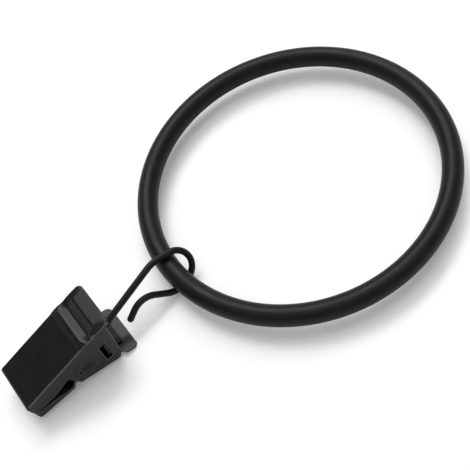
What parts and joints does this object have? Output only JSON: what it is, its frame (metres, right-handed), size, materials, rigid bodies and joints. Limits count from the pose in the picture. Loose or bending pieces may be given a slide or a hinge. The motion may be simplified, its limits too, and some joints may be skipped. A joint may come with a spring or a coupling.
{
  "type": "curtain ring with clip",
  "caption": "Round metal curtain ring carrying a sprung clip on a bent wire hook; the ring runs on a rod and the clip grips the curtain's top edge.",
  "frame": {"origin": "centre of the ring", "axes": "+Z along the ring's axis, up as it lies on a table; +X from the clip across the ring"},
  "size_m": [0.09, 0.0586, 0.0115],
  "materials": {
    "black_coat": "satin",
    "spring_steel": "satin"
  },
  "bodies": {
    "ring": {"ring": "black_coat"},
    "hook": {"hook": "black_coat"},
    "front_jaw": {"front_jaw": "black_coat", "spring": "spring_steel"},
    "rear_jaw": {"rear_jaw": "black_coat"}
  },
  "joints": [
    {"name": "hook_swing", "type": "hinge", "parent": "ring", "child": "hook", "pos_m": [-0.0274, 0, 0], "axis": [0, 1, 0], "continuous": true},
    {"name": "clip_swivel", "type": "hinge", "parent": "hook", "child": "front_jaw", "pos_m": [-0.04438, -0.0017, 0.00095], "axis": [0.9629, 0.2312, 0.1392], "continuous": true},
    {"name": "jaw_open", "type": "hinge", "parent": "front_jaw", "child": "rear_jaw", "pos_m": [-0.04874, -0.0006, 0.00016], "axis": [0, -1, 0], "range_deg": [0, 16], "stiffness_Nm_per_rad": 0.06, "springref_deg": -20.05, "deforming": ["spring"]}
  ]
}
